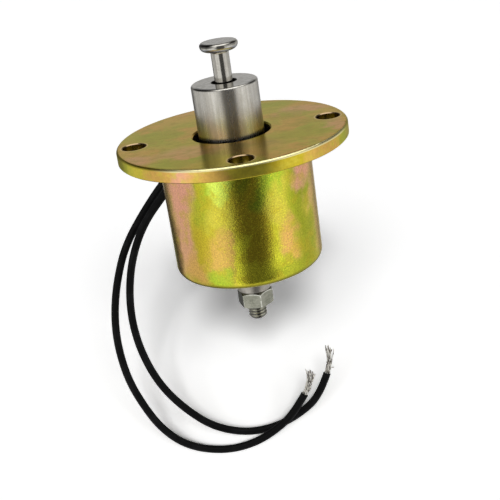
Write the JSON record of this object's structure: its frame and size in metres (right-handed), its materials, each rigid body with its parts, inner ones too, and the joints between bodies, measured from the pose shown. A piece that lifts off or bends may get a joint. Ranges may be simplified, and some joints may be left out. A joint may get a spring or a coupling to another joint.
{
  "type": "plunger electromagnet",
  "caption": "Round flange-mounted electromagnet with a spring-returned plunger, button-headed pin, threaded rear stud and flying leads.",
  "frame": {"origin": "centre of the flange's mounting face, on the plunger's axis", "axes": "+Z along the plunger's axis towards the pin's head; the bolt holes lie on X and Y; the leads leave the cup's side between -X and +Y"},
  "size_m": [0.0841, 0.07, 0.1412],
  "materials": {
    "plated_flange": "brushed, yellow zinc plated",
    "plated_can": "glossy yellow zinc plated, iridescent",
    "core_steel": "turned",
    "tube_brass": "drawn",
    "fibre": "pressed fibre",
    "plunger_steel": "turned, satin",
    "pin_steel": "polished",
    "spring_steel": "drawn wire",
    "bobbin_plastic": "moulded",
    "winding_copper": "enamelled copper wire",
    "tape_film": "wound film tape",
    "stud_steel": "bright plated",
    "nut_steel": "satin plated",
    "grommet_rubber": "moulded",
    "lead_insulation": "extruded, slight sheen",
    "tinned_copper": "stranded, tinned"
  },
  "bodies": {
    "stator": {"mounting_flange": "plated_flange", "housing_can": "plated_can", "fixed_core": "core_steel", "guide_tube": "tube_brass", "stop_washer": "fibre", "residual_shim": "tube_brass", "return_spring": "spring_steel", "coil_bobbin": "bobbin_plastic", "coil_winding": "winding_copper", "coil_tape": "tape_film", "front_insulator": "fibre", "rear_insulator": "fibre", "spacer_sleeve": "stud_steel", "rear_stud": "stud_steel", "hex_nut": "nut_steel", "lead_grommet": "grommet_rubber", "lead_wire_outer": "lead_insulation", "lead_wire_inner": "lead_insulation", "bare_strands_outer": "tinned_copper", "bare_strands_inner": "tinned_copper"},
    "armature": {"plunger": "plunger_steel", "plunger_pin": "pin_steel"}
  },
  "joints": [
    {"name": "plunger_slide", "type": "slide", "parent": "stator", "child": "armature", "axis": [0, 0, 1], "range_m": [-0.012, 0], "stiffness_N_per_m": 530, "springref_m": 0.005, "deforming": ["return_spring"]}
  ]
}
